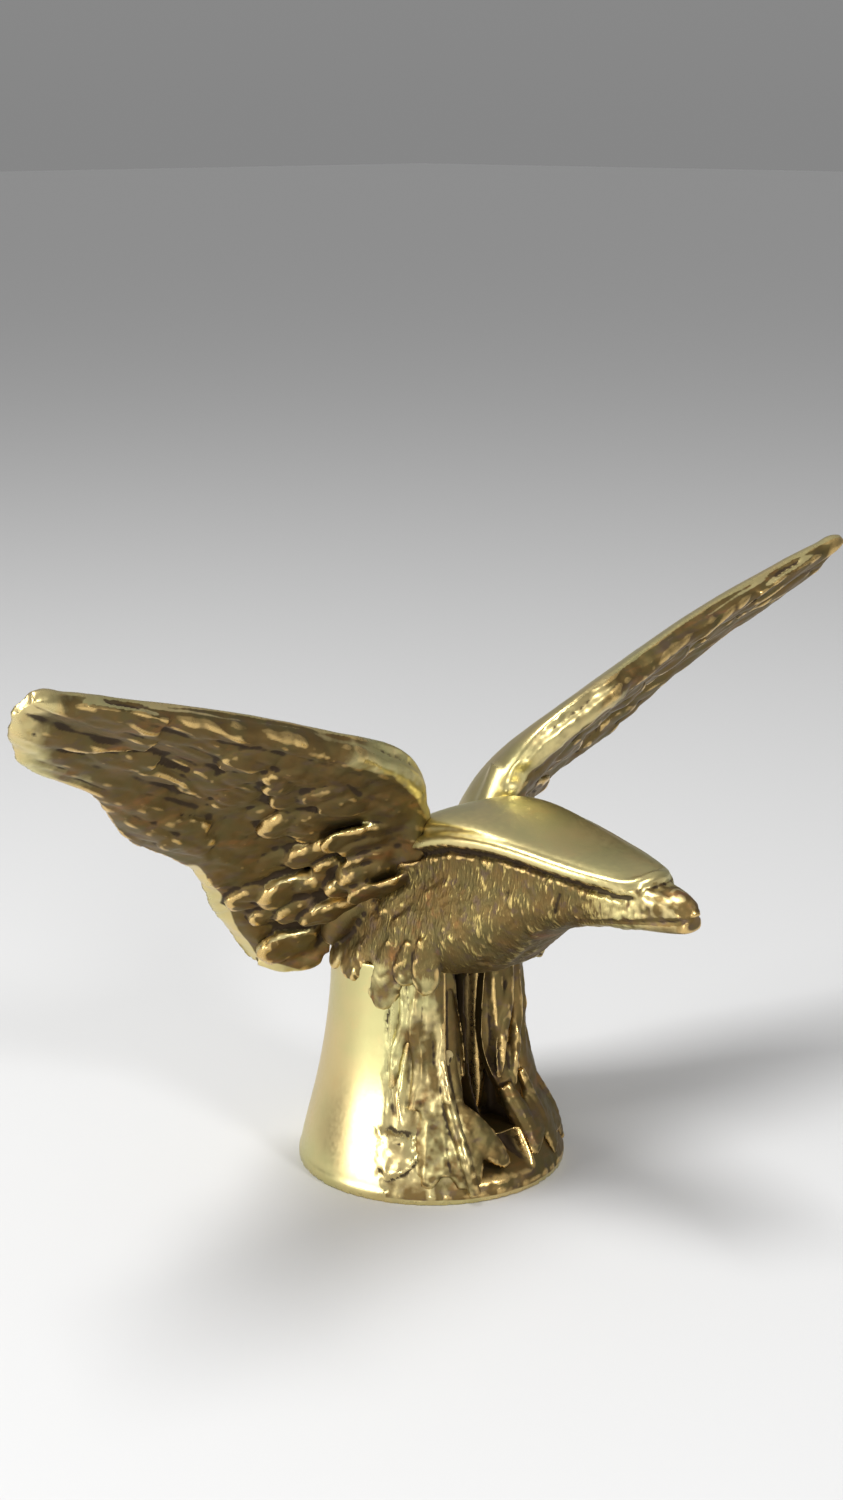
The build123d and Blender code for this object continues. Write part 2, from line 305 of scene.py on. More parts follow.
def blade_mesh(name, quill):
    """A closed feather from x = 0 to 1, 1 wide, with its top at z = 1 and its foot below z = 0."""
    rows = []
    build = bmesh.new()
    for i in range(BLADE_ALONG + 1):
        u = i / BLADE_ALONG
        reach = 0.62 + 0.38 * math.sin(0.5 * math.pi * min(1, u / 0.55))
        tip = math.sqrt(max(0.0, 1 - max(0.0, (u - 0.6) / 0.4) ** 2.2))
        half = 0.5 * reach * max(tip, 0.02)
        row = []
        for j in range(BLADE_ACROSS + 1):
            v = 2 * j / BLADE_ACROSS - 1
            crown = BLADE_RIM + (1 - BLADE_RIM) * math.sqrt(max(0.0, 1 - v * v)) * max(tip, 0.1)
            groove = quill * QUILL_DEPTH * math.exp(-((v / QUILL_WIDTH) ** 2)) * min(1, 2 * (1 - u))
            top = build.verts.new((u, v * half, (crown - groove) * (0.45 + 0.55 * u)))
            foot = build.verts.new((u, v * half, -BLADE_DEPTH))
            row.append((top, foot))
        rows.append(row)
    for low, high in zip(rows, rows[1:]):
        for a, b, c, d in zip(low, high, high[1:], low[1:]):
            build.faces.new((a[0], b[0], c[0], d[0]))
            build.faces.new((a[1], d[1], c[1], b[1]))
    for row, flip in ((rows[0], False), (rows[-1], True)):
        for a, b in zip(row, row[1:]):
            loop = (a[0], b[0], b[1], a[1])
            build.faces.new(loop[::-1] if flip else loop)
    for side, flip in ((0, True), (-1, False)):
        for a, b in zip(rows, rows[1:]):
            loop = (a[side][0], b[side][0], b[side][1], a[side][1])
            build.faces.new(loop[::-1] if flip else loop)
    bmesh.ops.recalc_face_normals(build, faces=build.faces)
    mesh = bpy.data.meshes.new(name)
    build.to_mesh(mesh)
    build.free()
    return mesh


# %% Two blades, and feathers laid on points
blades = {
    "quilled": new_object("feather_blade_quilled", blade_mesh("feather_blade_quilled", 1.0)),
    "plain": new_object("feather_blade_plain", blade_mesh("feather_blade_plain", 0.0)),
}
for blade in blades.values():
    blade.hide_render = True
    print(blade.name, "faces:", len(blade.data.polygons))


def feathers(name, spots, kind):
    """One mesh of laid feathers. A spot is (root, direction, outward, length, width, height), in metres."""
    mesh = bpy.data.meshes.new(name)
    mesh.from_pydata([tuple(spot[0]) for spot in spots], [], [])
    turns, extents = [], []
    for _, along, outward, length, width, height in spots:
        along = (along - outward * along.dot(outward)).normalized()
        across = outward.cross(along)
        turns.extend(Matrix((along, across, outward)).transposed().to_euler())
        extents.extend((length, width, height))
    for label, values in (("aim", turns), ("extent", extents)):
        attribute = mesh.attributes.new(label, "FLOAT_VECTOR", "POINT")
        attribute.data.foreach_set("vector", values)
    holder = new_object(name, mesh)
    modifier = holder.modifiers.new("Feathers", "NODES")
    modifier.node_group = feather_tree
    set_inputs(modifier, {"Blade": blades[kind], "Size": 1.0})
    return realised(holder)


# %% [markdown]
# A wing is measured in its own plane: `span` runs from the shoulder to the tip, `chord` from the leading
# edge back, and `lift` towards the underside, which faces forward and down. The shoulder, the tip and the
# turn of the chord are the CAD wing's own dimensions. A ray cast at the CAD mesh finds its surface.

# %% The wing's own axes
SHOULDER = Vector((-11.0, -9.5, 67.0))
WING_TIP = Vector((-87.0, -16.5, 96.8))
CHORD_TURN = math.radians(44.9)
span_dir = (WING_TIP - SHOULDER).normalized()
chord_dir = Vector((0, math.cos(CHORD_TURN), -math.sin(CHORD_TURN)))
chord_dir = (chord_dir - span_dir * chord_dir.dot(span_dir)).normalized()
under_dir = span_dir.cross(chord_dir)
wing_axes = np.array([span_dir, chord_dir, under_dir])


def wing_place(span, chord, lift=0.0):
    """A point of the right wing's plane, in metres."""
    return (SHOULDER + span_dir * span + chord_dir * chord + under_dir * lift) * MM


def wing_coords(points):
    """Span, chord and lift in millimetres of points in metres."""
    return (points / MM - np.array(SHOULDER)) @ wing_axes.T


wing_tree = BVHTree.FromObject(nodes["right_wing"], bpy.context.evaluated_depsgraph_get())


def wing_surface(span, chord):
    """Where the underside lies at this span and chord, or None off the wing."""
    start = wing_place(span, chord, 20)
    hit = wing_tree.ray_cast(start, -under_dir)
    return hit[0]


probe = wing_surface(20, 15)
print("wing underside at span 20, chord 15:", [round(v / MM, 1) for v in probe])

# %% [markdown]
# The finish is handled brass: a cast alloy that was dark all over, and that hands and cloths have polished
# where they reach. Attributes of the points carry that. Two are measured on the shape itself: `hollow`, how
# deep the point lies in a recess, and `crest`, how far it stands out. The other two come from the carving:
# `polish_and_painted_light`, where the founder filed and buffed the metal, with painted light and shade laid
# into it in a few places, and `hatch`, where a graver has been.

# %% The wear and painted light of a casting
def record_wear_and_light(mesh, polish_and_painted_light, hatch, hollow_depth, reach=14):
    """Stores hollow, crest, polish with its painted light and shade, and hatch on the mesh's points. Depths
    are in millimetres.
    """
    points = read_points(mesh)
    normals = read_normals(mesh)
    depth = ((relaxed(mesh, points, reach) - points) * normals).sum(axis=1) / MM
    broad = ((relaxed(mesh, points, 4 * reach) - points) * normals).sum(axis=1) / MM
    hollow = np.clip(step_up(0.015, hollow_depth, depth) + 0.7 * step_up(0.05, 0.6, broad), 0, 1)
    crest = np.clip(step_up(0.03, 0.17, -depth), 0, 1)
    wear_and_light = {"hollow": hollow, "crest": crest, "polish_and_painted_light": np.clip(polish_and_painted_light, 0, 1)}
    wear_and_light["hatch"] = hatch * np.ones(len(points))
    for label, values in wear_and_light.items():
        attribute = mesh.attributes.new(label, "FLOAT", "POINT")
        attribute.data.foreach_set("value", values.astype(np.float32))
    print(mesh.name, "points", len(points), "hollow share", round(float((hollow > 0.5).mean()), 2))


# %% [markdown]
# The brass itself is one shader: a metal whose colour, roughness and fine bump follow those attributes and
# some broad noise. Green-yellow where it is buffed, brown-olive where it kept its cast skin, near black
# in the recesses, with copper-red and gold flecks where the skin is rubbed through.

# %% Helpers for shaders
def node(tree, kind, **inputs):
    made = tree.nodes.new(kind)
    for name, value in inputs.items():
        made.inputs[name].default_value = value
    return made


def attribute_node(tree, label):
    made = tree.nodes.new("ShaderNodeAttribute")
    made.attribute_name = label
    return made.outputs["Fac"]


def noise_node(tree, source, scale, detail=4.0, rough=0.55):
    made = node(tree, "ShaderNodeTexNoise", Scale=scale, Detail=detail, Roughness=rough)
    tree.links.new(source, made.inputs["Vector"])
    return made.outputs["Fac"]


def ramp_node(tree, source, stops):
    made = tree.nodes.new("ShaderNodeValToRGB")
    elements = made.color_ramp.elements
    while len(elements) < len(stops):
        elements.new(0.5)
    for element, (place, colour) in zip(elements, stops):
        element.position = place
        element.color = (*colour, 1)
    tree.links.new(source, made.inputs["Fac"])
    return made.outputs["Color"]


def grey(value):
    return (value, value, value)


def fade_node(tree, source, low, high, top=1.0):
    """Nothing up to low, then rising to top at high."""
    return ramp_node(tree, source, [(low, grey(0)), (high, grey(top))])


def mixed(tree, amount, first, second):
    """First where amount is 0, second where it is 1. Each may be a value or another node's output."""
    made = tree.nodes.new("ShaderNodeMix")
    made.data_type = "RGBA"
    for name, value in (("Factor", amount), ("A", first), ("B", second)):
        socket = made.inputs[name]
        if isinstance(value, bpy.types.NodeSocket):
            tree.links.new(value, socket)
        elif isinstance(value, float):
            socket.default_value = value
        else:
            socket.default_value = (*value, 1)
    return made.outputs["Result"]


def maths(tree, operation, *values):
    made = tree.nodes.new("ShaderNodeMath")
    made.operation = operation
    for socket, value in zip(made.inputs, values):
        if isinstance(value, bpy.types.NodeSocket):
            tree.links.new(value, socket)
        else:
            socket.default_value = value
    return made.outputs["Value"]


# %% [markdown]
# Two patterns are used below. A noise that swings about zero makes the edge between two finishes ragged.
# The marks of a graver are long thin noise in three directions, each direction in its own patches.

# %% Patterns of the metal
def swing_node(tree, noise, amount):
    """The noise as a swing about zero, amount from one end to the other."""
    return maths(tree, "MULTIPLY", maths(tree, "SUBTRACT", noise, 0.5), amount)


def hatch_node(tree, place, patches):
    """Fine short strokes, leaning one way in some patches and another way in the rest."""
    layers = []
    for lean in (0.5, -0.25, 1.1):
        made = tree.nodes.new("ShaderNodeMapping")
        made.inputs["Rotation"].default_value = (lean, 0, 0)
        made.inputs["Scale"].default_value = (1.0, 4.2, 1.0)
        tree.links.new(place, made.inputs["Vector"])
        layers.append(noise_node(tree, made.outputs["Vector"], 620.0, 2.0, 0.6))
    first = mixed(tree, fade_node(tree, patches, 0.44, 0.52), layers[0], layers[1])
    return mixed(tree, fade_node(tree, patches, 0.55, 0.62), first, layers[2])


# %% [markdown]
# The colours were chosen for old handled brass. Two functions mix them, one for the buffed metal and
# one for the cast skin, and the material lays one over the other by the polish, with soot in the hollows.

# %% Colours of handled brass
BUFFED = (0.72, 0.575, 0.27)
BUFFED_GREEN = (0.60, 0.55, 0.25)
BUFFED_WARM = (0.74, 0.55, 0.25)
GILT = (0.46, 0.34, 0.10)
SKIN = (0.185, 0.118, 0.042)
SKIN_OLIVE = (0.145, 0.115, 0.045)
SKIN_VIOLET = (0.135, 0.092, 0.068)
RUBBED = (0.78, 0.54, 0.21)
COPPER = (0.42, 0.17, 0.06)
SOOT = (0.034, 0.019, 0.008)
ROUGH_SKIN = grey(0.50)
ROUGH_BUFFED = grey(0.30)
ROUGH_RUBBED = grey(0.26)
ROUGH_SOOT = grey(0.72)
ROUGH_SPECKS = grey(0.55)
GRAIN_DEPTH = 0.12 * MM
STROKE_DEPTH = 0.3 * MM


def buffed_colour(tree, broad, middle):
    """Yellow and greenish by turns, warmer in spots, gilt where it is hatched."""
    colour = mixed(tree, fade_node(tree, broad, 0.38, 0.62), BUFFED, BUFFED_GREEN)
    colour = mixed(tree, fade_node(tree, middle, 0.55, 0.75, 0.5), colour, BUFFED_WARM)
    gilt = maths(tree, "MULTIPLY", attribute_node(tree, "hatch"), 0.75)
    return mixed(tree, gilt, colour, GILT)


def skin_colour(tree, middle, flecks, copper, worn):
    """Brown and olive, with violet flecks, copper-red patches and rubbed crests."""
    colour = mixed(tree, fade_node(tree, middle, 0.35, 0.65), SKIN, SKIN_OLIVE)
    colour = mixed(tree, fade_node(tree, flecks, 0.55, 0.7, 0.7), colour, SKIN_VIOLET)
    colour = mixed(tree, fade_node(tree, copper, 0.58, 0.78, 0.6), colour, COPPER)
    return mixed(tree, fade_node(tree, worn, 0.25, 0.75, 0.85), colour, RUBBED)


# %% The handled brass
def brass_material(name):
    material = bpy.data.materials.new(name)
    material.use_nodes = True
    tree = material.node_tree
    shader = tree.nodes["Principled BSDF"]
    place = tree.nodes.new("ShaderNodeTexCoord").outputs["Object"]
    broad = noise_node(tree, place, 55.0, 3.0)
    middle = noise_node(tree, place, 260.0, 5.0)
    fine = noise_node(tree, place, 1500.0, 4.0, 0.6)
    drawn_out = tree.nodes.new("ShaderNodeMapping")
    drawn_out.inputs["Scale"].default_value = (0.3, 1.0, 1.0)
    tree.links.new(place, drawn_out.inputs["Vector"])
    flecks = noise_node(tree, drawn_out.outputs["Vector"], 620.0, 3.0, 0.5)
    copper = noise_node(tree, drawn_out.outputs["Vector"], 240.0, 6.0, 0.65)
    strokes = maths(tree, "SUBTRACT", hatch_node(tree, place, broad), 0.5)
    hatched = maths(tree, "MULTIPLY", attribute_node(tree, "hatch"), strokes)
    worn = maths(tree, "ADD", attribute_node(tree, "crest"), swing_node(tree, middle, 0.9))
    reach = maths(tree, "ADD", attribute_node(tree, "polish_and_painted_light"), swing_node(tree, middle, 0.45))
    reach = maths(tree, "ADD", reach, maths(tree, "MULTIPLY", hatched, 1.6))
    # The polish attribute carries painted light and shade too, and so the cover of buffed metal does.
    cover = fade_node(tree, reach, 0.38, 0.62)
    dirt = maths(tree, "ADD", attribute_node(tree, "hollow"), swing_node(tree, fine, 0.4))
    dirt_cover = fade_node(tree, dirt, 0.25, 0.8, 0.93)
    skin = skin_colour(tree, middle, flecks, copper, worn)
    colour = mixed(tree, cover, skin, buffed_colour(tree, broad, middle))
    tree.links.new(mixed(tree, dirt_cover, colour, SOOT), shader.inputs["Base Color"])
    rough = mixed(tree, cover, ROUGH_SKIN, ROUGH_BUFFED)
    rough = mixed(tree, fade_node(tree, worn, 0.25, 0.75), rough, ROUGH_RUBBED)
    rough = mixed(tree, dirt_cover, rough, ROUGH_SOOT)
    rough = mixed(tree, fade_node(tree, fine, 0.4, 0.7, 0.35), rough, ROUGH_SPECKS)
    tree.links.new(rough, shader.inputs["Roughness"])
    tree.links.new(mixed(tree, dirt_cover, grey(1.0), grey(0.6)), shader.inputs["Metallic"])
    grain_share = mixed(tree, cover, grey(1.0), grey(0.22))
    grain_height = mixed(tree, grain_share, grey(0.5), mixed(tree, 0.5, fine, flecks))
    grain = node(tree, "ShaderNodeBump", Strength=0.5, Distance=GRAIN_DEPTH)
    tree.links.new(grain_height, grain.inputs["Height"])
    marks = node(tree, "ShaderNodeBump", Strength=0.9, Distance=STROKE_DEPTH)
    tree.links.new(hatched, marks.inputs["Height"])
    tree.links.new(grain.outputs["Normal"], marks.inputs["Normal"])
    tree.links.new(marks.outputs["Normal"], shader.inputs["Normal"])
    return material


brass = brass_material("handled_brass")
print("shader nodes of the brass:", len(brass.node_tree.nodes))

# %% [markdown]
# Every casting ends the same way: the fused skin gets its wear, its material and its body, and the CAD
# node that it stands for is hidden.

# %% Hand a casting over
# The polish handed on carries the casting's painted light and shade as well.
def finish_casting(name, mesh, polish_and_painted_light, cad_node, hatch=0.0, hollow_depth=0.16):
    record_wear_and_light(mesh, polish_and_painted_light, hatch, hollow_depth)
    mesh.materials.clear()
    mesh.materials.append(brass)
    mesh.shade_smooth()
    piece = new_object(name, mesh)
    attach(piece, "root")
    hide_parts(cad_node)


def mirrored(mesh, name):
    """The same casting for the other side, with its faces turned outwards again."""
    twin = mesh.copy()
    twin.name = name
    points = read_points(twin)
    points[:, 0] *= -1
    write_points(twin, points)
    twin.flip_normals()
    return twin


# %% [markdown]
# The underside of a wing is where the carving is richest. Long flight feathers lie flat towards the tip,
# short coverts overlap from the shoulder outwards and backwards, and a few large quilled feathers lie on
# top of them near the body. The leading edge is a thick roll.

# %% The edges of the right wing and one laid feather
# The rear and the leading edge as (span, chord), for laying out what lies between them
REAR_EDGE = [(-12, 41), (-4, 45), (2, 42.5), (11, 37), (24, 30.5)]
REAR_EDGE += [(37, 28), (45, 25), (55, 19.5), (70, 16), (80, 10)]
FRONT_EDGE = [(-5, 4), (2, 0), (12, -3.4), (40, -1.4), (60, 0.6), (84, 2.6)]


def landed(spots):
    """The feathers whose two ends both met the casting."""
    return [spot for spot in spots if spot]


def edge_chord(edge, span):
    spans, chords = zip(*edge)
    return np.interp(span, spans, chords)


def wing_feather(root, tip, width, height, sink=0.5, lift=0.5):
    """A feather laid on the underside from root to tip, both (span, chord) in millimetres."""
    start, end = wing_surface(*root), wing_surface(*tip)
    if start is None or end is None:
        return None
    start = start - under_dir * sink * MM
    end = end + under_dir * lift * MM
    return (start, end - start, under_dir.copy(), (end - start).length, width * MM, height * MM)


# %% [markdown]
# The coverts repeat, so a loop lays them in rows from the rear edge forwards. A seeded dice varies their
# place, turn and size, because a carver's feathers are never quite alike, and the same seed gives the same
# wing each time.

# %% Coverts in rows
dice = random.Random(7)
# Rows of coverts from the rear edge forwards: (distance before the edge, length, width, height)
COVERT_ROWS = [
    (3, 13, 7.4, 1.3),
    (8, 12, 7.0, 1.5),
    (13.5, 11, 6.6, 1.4),
    (19, 10, 5.8, 1.0),
    (24, 9, 5.0, 0.7),
]
COVERTS_END = 44
coverts = []
for row, (inset, length, width, height) in enumerate(COVERT_ROWS):
    span = -6.0 + 2.2 * (row % 2)
    while span < COVERTS_END:
        chord = float(edge_chord(REAR_EDGE, span)) - inset + dice.uniform(-1.4, 1.4)
        turn = math.radians(50 - 0.9 * span + dice.uniform(-14, 14))
        size = dice.uniform(0.75, 1.2)
        root = (span - size * length * math.cos(turn), chord - size * length * math.sin(turn))
        if root[1] > 2.0:
            coverts.append(wing_feather(root, (span, chord), size * width, height, 0.3, 0.5 + 0.1 * row))
        span += width * dice.uniform(0.6, 0.9)
coverts = landed(coverts)
print("coverts:", len(coverts))

# %% [markdown]
# The large feathers near the body are what the eye takes in first, and no rule gives their places: each is
# laid one by one, by its root and tip. The flight feathers fan out in steps along the tip.

# %% Large feathers and flight feathers
# Root, tip, width and height
LARGE_FEATHERS = [
    ((3.2, 18.0), (12.0, 28.4), 8.6, 2.0),
    ((-5.0, 14.0), (1.4, 19.6), 6.4, 1.9),
    ((-7.0, 23.0), (-1.5, 32.0), 5.6, 2.2),
    ((2.1, 30.4), (11.8, 34.2), 7.2, 1.9),
    ((-8.5, 34.0), (-3.4, 42.0), 6.0, 1.6),
    ((-10.5, 30.0), (-8.6, 40.0), 5.6, 1.6),
    ((17.0, 12.6), (21.0, 20.6), 6.0, 1.4),
    ((10.6, 9.0), (14.2, 17.6), 6.0, 1.4),
    ((15.0, 23.6), (20.6, 29.0), 5.6, 1.4),
    ((28.8, 8.0), (40.0, 11.2), 5.0, 1.4),
    ((24.6, 3.9), (32.6, 6.4), 4.0, 1.2),
    ((24.0, 13.4), (31.6, 17.0), 5.0, 1.2),
    ((28.6, 19.0), (34.6, 26.2), 6.0, 1.1),
]
large = landed([wing_feather(*feather, sink=0.4, lift=1.0) for feather in LARGE_FEATHERS])

# Flight feathers by their tips, the outermost first
FLIGHT_TIPS = [(81, 4.5), (78, 9), (71, 12.5), (62, 14.5)]
FLIGHT_LENGTH = 22
FLIGHT_WIDTH = 5.2
FLIGHT_HEIGHT = 0.9
flight = []
for k, tip in enumerate(FLIGHT_TIPS):
    root = (tip[0] - FLIGHT_LENGTH + k, tip[1] - 3.2 + 0.4 * k)
    flight.append(wing_feather(root, tip, FLIGHT_WIDTH, FLIGHT_HEIGHT, sink=-0.7, lift=0.9))
flight = landed(flight)
print("large feathers:", len(large), "flight feathers:", len(flight))

# %% [markdown]
# The roll of the leading edge and the stub at the shoulder are swept strands. They and the feathers are
# fused with the CAD wing into one skin, as one casting comes out of one mould.

# %% Fuse the right wing
WING_VOXEL = 0.35
# The leading edge's roll and the stub that it stands on, as (span, chord, lift, radius)
ROLL = [
    (-0.4, 3.4, -0.2, 1.7),
    (3, 0.8, -0.4, 2.5),
    (9, -1.2, -0.5, 2.5),
    (18, -1.8, -0.9, 2.3),
    (32, -1.2, -1.2, 2.0),
    (46, 0.2, -1.0, 1.9),
    (62, 1.4, -0.7, 1.5),
    (80, 3.4, 0.2, 0.7),
]
STUB = [(-1.6, 5.0, 0.4, 0.8), (-3.4, 8.4, 0.8, 2.0), (-5.6, 11.5, 1.4, 2.8), (-8.6, 16.0, 1.6, 1.4)]
strands = []
for route in (ROLL, STUB):
    strands.append([(*(wing_place(span, chord, lift) / MM), r) for span, chord, lift, r in route])
# The rounded lower corner, where the wing comes down beside the flank, as (x, y, z, radius)
LOWER_CORNER = [
    (-20.4, 20.0, 33.7, 1.1),
    (-18.2, 17.8, 33.0, 1.4),
    (-15.3, 15.4, 33.4, 1.6),
    (-12.6, 12.6, 33.8, 1.3),
]
strands.append(LOWER_CORNER)
wing_forms = [
    nodes["right_wing"].data,
    feathers("coverts", coverts, "plain"),
    feathers("large_feathers", large, "quilled"),
    feathers("flight_feathers", flight, "quilled"),
    sweep("leading_roll", strands),
]
wing_mesh = fuse("right_wing_casting", wing_forms, WING_VOXEL * MM)
print("skin of the right wing, points:", len(wing_mesh.vertices))

# %% [markdown]
# Between the feathers a cast wing is never plain. Long streaks run out to the tip, lumps and shallow
# creases lie near the body, and the tip has a few soft hammer marks. Smooth noise, drawn out along the
# wing, pushes the points along their normals, nearly all of it on the underside. The stub and the lower
# corner are relaxed first, so that the strands melt into the wing.

# %% Soft stub and corner
def soften_root(mesh):
    """Relaxes the stub and the lower corner. Gives the points and how far each belongs to the stub."""
    points = relaxed(mesh, read_points(mesh), 2)
    span, chord, _ = wing_coords(points).T
    stub = step_up(1.5, -2, span) * step_up(26, 20, chord) * step_up(4.5, 7, chord)
    corner = step_up(-5, -8, span) * step_up(34, 37, chord)
    points += (relaxed(mesh, points, 40) - points) * np.maximum(stub, corner)[:, None]
    write_points(mesh, points)
    return points, stub


# %% Streaks, lumps and creases
def carve_wing(mesh):
    """Pushes the marks into the wing. Gives what the polish and the painted shade follow, one value for each
    point.
    """
    points, stub = soften_root(mesh)
    normals = read_normals(mesh)
    span, chord, _ = wing_coords(points).T
    flat = np.c_[span + 0.25 * chord, chord + 0.12 * span, 0 * span]
    streaks = cloud(flat, (17, 1.7, 1), 3) + 0.6 * cloud(flat, (8, 0.9, 1), 4)
    streaks = streaks + 0.5 * cloud(flat, (2.5, 1.2, 1), 9)
    # Past the shoulder the dark underside, and its relief with it, spreads up over the leading roll: a
    # painted shade.
    shade = step_up(10, 38, span + 2 * streaks)
    under = step_up(-0.1, 0.45, normals @ np.array(under_dir) + 0.15 + 0.3 * shade)
    outer = step_up(24, 42, span)
    lumps = cloud(points / MM, 2.4, 5) + 0.45 * cloud(points / MM, 1.1, 6)
    hammer = cloud(points / MM, 3.2, 8)
    swell = cloud(flat, (6.5, 4.5, 1), 33)
    crease = np.exp(-((cloud(flat, (12, 3.4, 1), 34) / 0.2) ** 2))
    hollow = np.exp(-(((span - 66) / 11) ** 2) - ((chord - 6.4 - 0.1 * (66 - span)) / 2.0) ** 2)
    rise = under * (outer * 0.34 * streaks + (1 - outer) * (0.2 * lumps + 0.5 * swell + 0.1 * streaks))
    rise -= under * (0.22 * crease * step_up(10, 18, span) * step_up(70, 60, span) + 0.6 * hollow)
    rise += step_up(72, 82, span) * 0.18 * hammer
    rise += (1 - under) * 0.05 * hammer
    write_points(mesh, points + normals * rise[:, None] * MM)
    marks = {"span": span, "chord": chord, "stub": stub, "streaks": streaks}
    return {**marks, "shade": shade, "under": under, "hammer": hammer, "normals": normals}


# %% [markdown]
# The back of a wing, its rims and its tip were filed and buffed. Over that the two wings, which share a
# shape, get different painted light: the right wing's stub is painted dark, a painted shade, the left wing's
# stub bright, a painted highlight, and the left wing's nose past the shoulder dark, a painted shade.

# %% Polish, painted shade and painted highlight of the two wings
def wing_polish_and_light(span, chord, stub, streaks, shade, under, hammer, normals):
    """The polish of the right and of the left wing, 0 to 1, with painted shade on the right stub and the left
    nose and a painted highlight on the left stub.
    """
    inset = edge_chord(REAR_EDGE, span) - chord
    rim = step_up(2.4, 1.0, inset) * step_up(27, 22, span)
    worn = step_up(60, 82, span + 6 * streaks) + step_up(5, 1, inset + streaks) * step_up(44, 62, span)
    upward = step_up(0.84, 0.95, normals[:, 2] + 0.25 * step_up(50, 70, span) + 0.1 * streaks)
    upward += step_up(22, 8, span) * step_up(0.3, 0.6, normals[:, 2])
    tip = step_up(78.5, 83, span + 0.6 * hammer)
    # The leading roll's polish fades where the painted shade comes in.
    front = step_up(1.7, 0.6, chord + 0.3 * streaks - edge_chord(FRONT_EDGE, span)) * (1 - shade)
    reached = 0.95 * (1 - under) + 0.9 * rim + 0.7 * upward + 0.5 * front + 0.5 * tip + 0.3 * worn
    polish_and_painted_light = np.clip(reached + 0.12, 0, 1)
    stub = stub * step_up(1.5, 4, chord)
    # The right wing's stub, where it faces the underside's way, is painted dark: painted shade.
    right = polish_and_painted_light * (1 - 0.85 * stub * step_up(-0.3, 0.2, normals @ np.array(under_dir)))
    # The left wing's nose past the shoulder is painted dark, a painted shade, and its stub bright, a painted
    # highlight.
    painted_nose_shade = step_up(16, 30, span + 6 * streaks) * step_up(0.82, 0.6, normals[:, 2])
    painted_nose_shade = painted_nose_shade * step_up(0.6, 0.2, normals[:, 1])
    left = np.maximum(polish_and_painted_light * (1 - 0.85 * painted_nose_shade), 0.9 * stub)
    return right, left


right_polish_and_shade, left_polish_and_light = wing_polish_and_light(**carve_wing(wing_mesh))
left_mesh = mirrored(wing_mesh, "left_wing_casting")
finish_casting("right_wing_casting", wing_mesh, right_polish_and_shade, "right_wing")
finish_casting("left_wing_casting", left_mesh, left_polish_and_light, "left_wing")

# %% [markdown]
# The body has two characters. The mantle over the back and crown is a smooth buffed plate whose lower edge
# is a rounded bead with a groove under it. Below it the cheek and breast are hatched all over with short
# strokes, and the flanks end in leaf-shaped feathers that hang over the top of the pedestal.

# %% Feathers of the flanks
body_tree = BVHTree.FromObject(nodes["body"], bpy.context.evaluated_depsgraph_get())
pedestal_tree = BVHTree.FromObject(nodes["pedestal"], bpy.context.evaluated_depsgraph_get())


def side_surface(y, z):
    """The right flank at this y and z in millimetres: body and pedestal taken together, with its normal."""
    start = Vector((-40, y, z)) * MM
    hits = [tree.ray_cast(start, Vector((1, 0, 0))) for tree in (body_tree, pedestal_tree)]
    hits = [hit for hit in hits if hit[0] is not None]
    if not hits:
        return None
    return min(hits, key=lambda hit: hit[0].x)


def side_feather(root, tip, width, height, sink=0.5, lift=0.7):
    start, end = side_surface(*root), side_surface(*tip)
    if start is None or end is None:
        return None
    outward = (start[1] + end[1]).normalized()
    start = start[0] - outward * sink * MM
    end = end[0] + outward * lift * MM
    return (start, end - start, outward, (end - start).length, width * MM, height * MM)


# Feathers of the right flank as root (y, z), tip (y, z), width, height
FLANK_FEATHERS = [
    ((3.5, 49), (14, 42.5), 5.0, 1.6),
    ((-1.3, 48.5), (7, 43), 4.4, 1.8),
    ((-6, 50), (-0.5, 45), 4.4, 1.8),
    ((-8.5, 47), (-3.5, 41.5), 4.0, 1.4),
    ((6, 42), (11.5, 36.5), 5.0, 1.4),
    ((1, 44), (7, 35.5), 5.4, 1.4),
    ((-3.5, 44), (3.0, 37), 5.0, 1.3),
    ((12, 44), (16, 38.5), 4.6, 1.2),
]
# The long tips that hang over the top of the pedestal
HANGING_TIPS = [
    ((-5.5, 41), (-1.8, 29.4), 6.2, 1.4),
    ((-12.0, 43), (-9.6, 34.6), 4.4, 1.3),
    ((-9.5, 42), (-6.6, 34.8), 4.6, 1.3),
    ((1.0, 39), (5.0, 33.5), 5.2, 1.1),
    ((7.0, 38), (10.5, 34.0), 4.8, 1.0),
]

# %% Tail feathers
# Short feathers lie over the back end of the body in two rows, one on its top and one down its end.
DOWN = Vector((0, 0, -1))
FORWARD = Vector((0, -1, 0))
tail = []
for k in (-2, -1, 0, 1, 2):
    over = body_tree.ray_cast(Vector((2.4 * k, 5, 90)) * MM, DOWN)[0]
    behind = body_tree.ray_cast(Vector((2.9 * k, 60, 51.5 - 0.4 * k * k)) * MM, FORWARD)[0]
    top_end = Vector((2.9 * k * MM, behind.y + (1.2 - 0.3 * k * k) * MM, over.z - 0.4 * MM))
    tail.append((over, top_end - over, Vector((0.08 * k, 0, 1)), (top_end - over).length, 4.6 * MM, 1.2 * MM))
    low_end = Vector((3.3 * k * MM, behind.y + 0.5 * MM, (41.5 + 0.6 * k * k) * MM))
    tail.append((behind, low_end - behind, -FORWARD, (low_end - behind).length, 5.0 * MM, 1.2 * MM))
tail_mesh = feathers("tail_feathers", tail, "quilled")
print("tail feathers:", len(tail))

